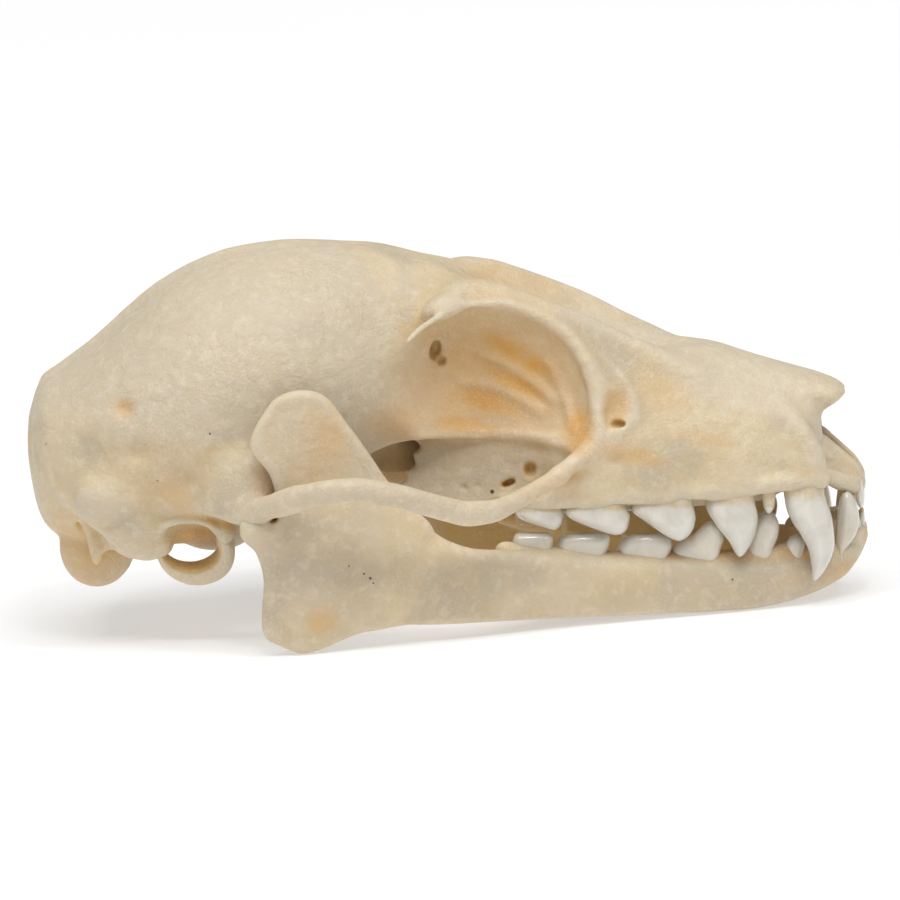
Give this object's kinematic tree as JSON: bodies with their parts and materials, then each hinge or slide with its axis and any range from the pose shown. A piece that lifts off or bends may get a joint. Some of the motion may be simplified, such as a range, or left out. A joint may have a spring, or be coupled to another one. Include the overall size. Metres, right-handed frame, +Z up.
{
  "type": "fruit bat skull",
  "caption": "Life-size dry skull of a rousette fruit bat with its jaw closed: round braincase, tapering muzzle, large eye sockets, slender cheek arches and pointed canines.",
  "frame": {"origin": "middle of the skull's outline seen from above, on the floor that the lower jaw rests on", "axes": "+X towards the nose, +Y to the animal's left, +Z up, with the skull in its resting pose"},
  "size_m": [0.038, 0.0234, 0.0176],
  "materials": {
    "bone": "dry ivory bone, satin, slightly translucent",
    "enamel": "glossy tooth enamel"
  },
  "bodies": {
    "root": {"braincase": "bone", "rostrum": "bone", "premaxilla_left": "bone", "premaxilla_right": "bone", "zygomatic_arch_left": "bone", "zygomatic_arch_right": "bone", "tympanic_ring_left": "bone", "tympanic_ring_right": "bone", "mandible_left": "bone", "mandible_right": "bone"}
  },
  "joints": []
}
